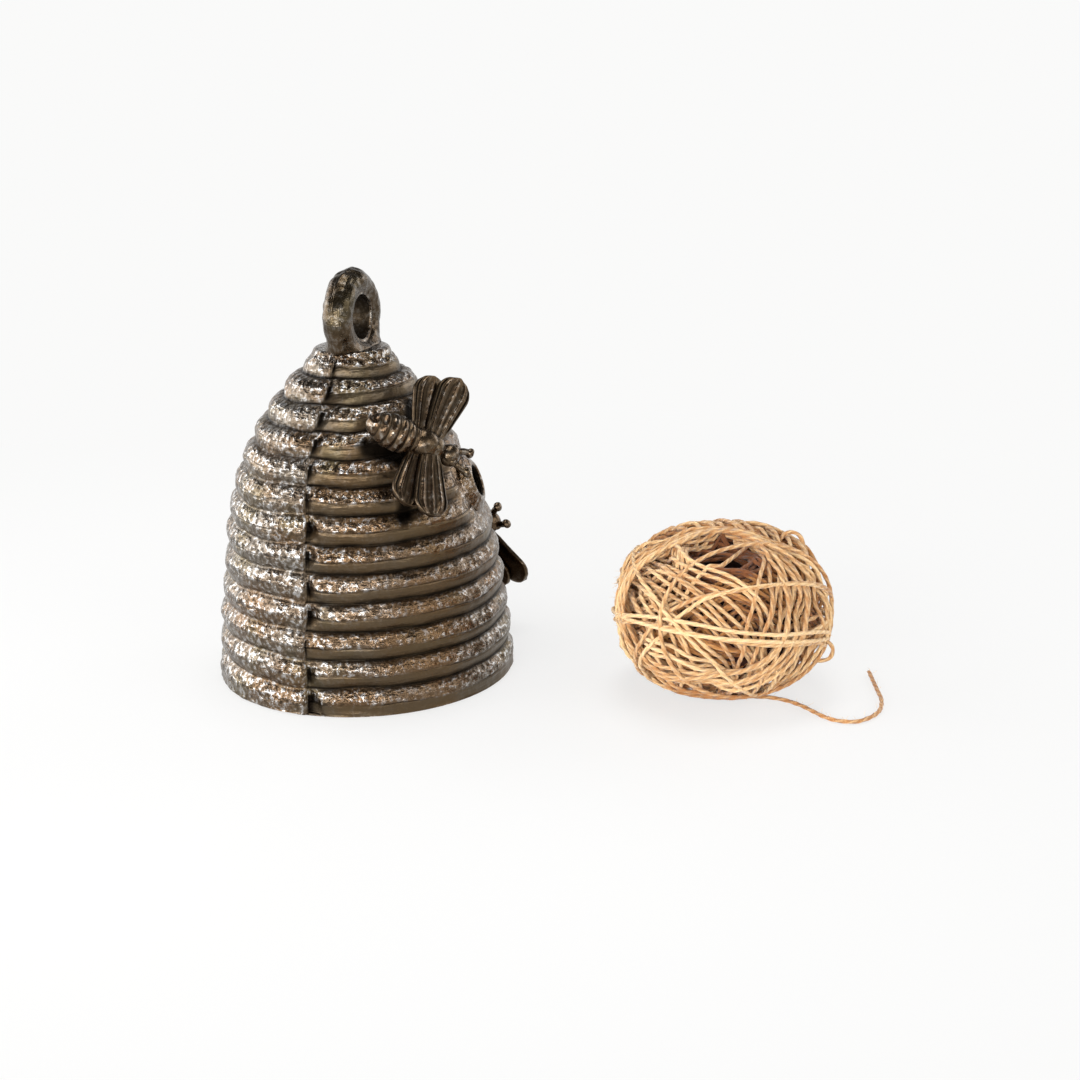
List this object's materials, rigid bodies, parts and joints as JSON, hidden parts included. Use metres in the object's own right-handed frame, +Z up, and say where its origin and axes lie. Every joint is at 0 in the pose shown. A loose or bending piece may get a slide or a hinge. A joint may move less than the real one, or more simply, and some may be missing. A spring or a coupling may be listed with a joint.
{
  "type": "string holder",
  "caption": "Hollow cast dome in the form of a roped straw beehive, with bees screwed on, a hanging loop, a string outlet in its side and an open base that goes over a ball of twine.",
  "frame": {"origin": "on the hive's axis, in the plane of its base rim", "axes": "+Z up along the hive's axis to the loop; -Y is the front, and the string comes out 12 degrees to the right of it; +X is to the right of a viewer who faces the front"},
  "size_m": [0.1191, 0.2467, 0.1488],
  "materials": {
    "hive_iron": "glossy dark bronze-brown lacquer over rough casting",
    "bee_iron": "glossy bronze-black lacquer",
    "fixings": "plain steel, dull",
    "jute": "matt hairy jute"
  },
  "bodies": {
    "hive": {"hive_shell": "hive_iron", "hanging_loop": "hive_iron", "upper_bee": "bee_iron", "lower_bee": "bee_iron", "bee_screws": "fixings", "bee_washers": "fixings"},
    "twine": {"twine_core": "jute", "twine_winding": "jute", "twine_tail": "jute"}
  },
  "joints": [
    {"name": "twine_lift", "type": "slide", "parent": "hive", "child": "twine", "axis": [0, 0, 1], "range_m": [0, 0.16]}
  ]
}
